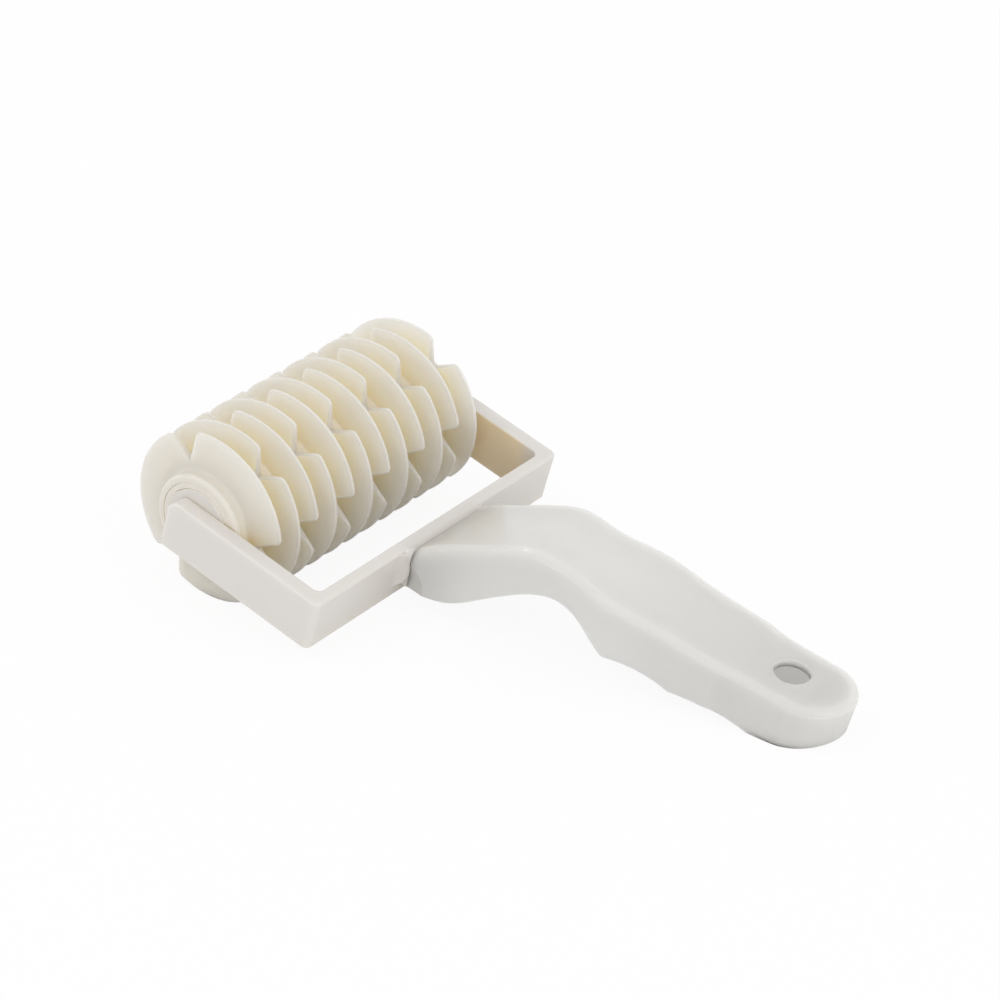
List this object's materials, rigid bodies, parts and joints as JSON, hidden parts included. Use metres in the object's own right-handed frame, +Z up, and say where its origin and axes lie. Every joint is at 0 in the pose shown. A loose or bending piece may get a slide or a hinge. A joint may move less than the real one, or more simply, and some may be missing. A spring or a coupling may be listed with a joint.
{
  "type": "pastry lattice roller",
  "caption": "Hand roller with a row of notched discs that cuts a lattice of slits in rolled-out pastry; it turns between a yoke's arms, ahead of a raised hollow handle.",
  "frame": {"origin": "centre of the footprint, on the surface that the tool lies on", "axes": "+X from the roller to the handle's tail, +Y along the axle, from the arm nearer the picture's camera to the other one, +Z up. The tool lies on its roller and its tail, so its yoke is tipped by 16.6 degrees."},
  "size_m": [0.2016, 0.1042, 0.05],
  "materials": {
    "handle_plastic": "smooth, softly glossy off-white moulded plastic",
    "roller_plastic": "smooth, thin, slightly translucent ivory moulded plastic"
  },
  "bodies": {
    "frame": {"yoke": "handle_plastic", "handle": "handle_plastic"},
    "roller": {"roller_core": "roller_plastic", "near_end_ring": "roller_plastic", "far_end_ring": "roller_plastic", "cutter_disc_01": "roller_plastic", "cutter_disc_02": "roller_plastic", "cutter_disc_03": "roller_plastic", "cutter_disc_04": "roller_plastic", "cutter_disc_05": "roller_plastic", "cutter_disc_06": "roller_plastic", "cutter_disc_07": "roller_plastic", "cutter_disc_08": "roller_plastic", "cutter_disc_09": "roller_plastic", "cutter_disc_10": "roller_plastic", "cutter_disc_11": "roller_plastic", "cutter_disc_12": "roller_plastic"}
  },
  "joints": [
    {"name": "roller_spin", "type": "hinge", "parent": "frame", "child": "roller", "pos_m": [-0.07575, 0, 0.025], "axis": [0, 1, 0], "continuous": true}
  ]
}
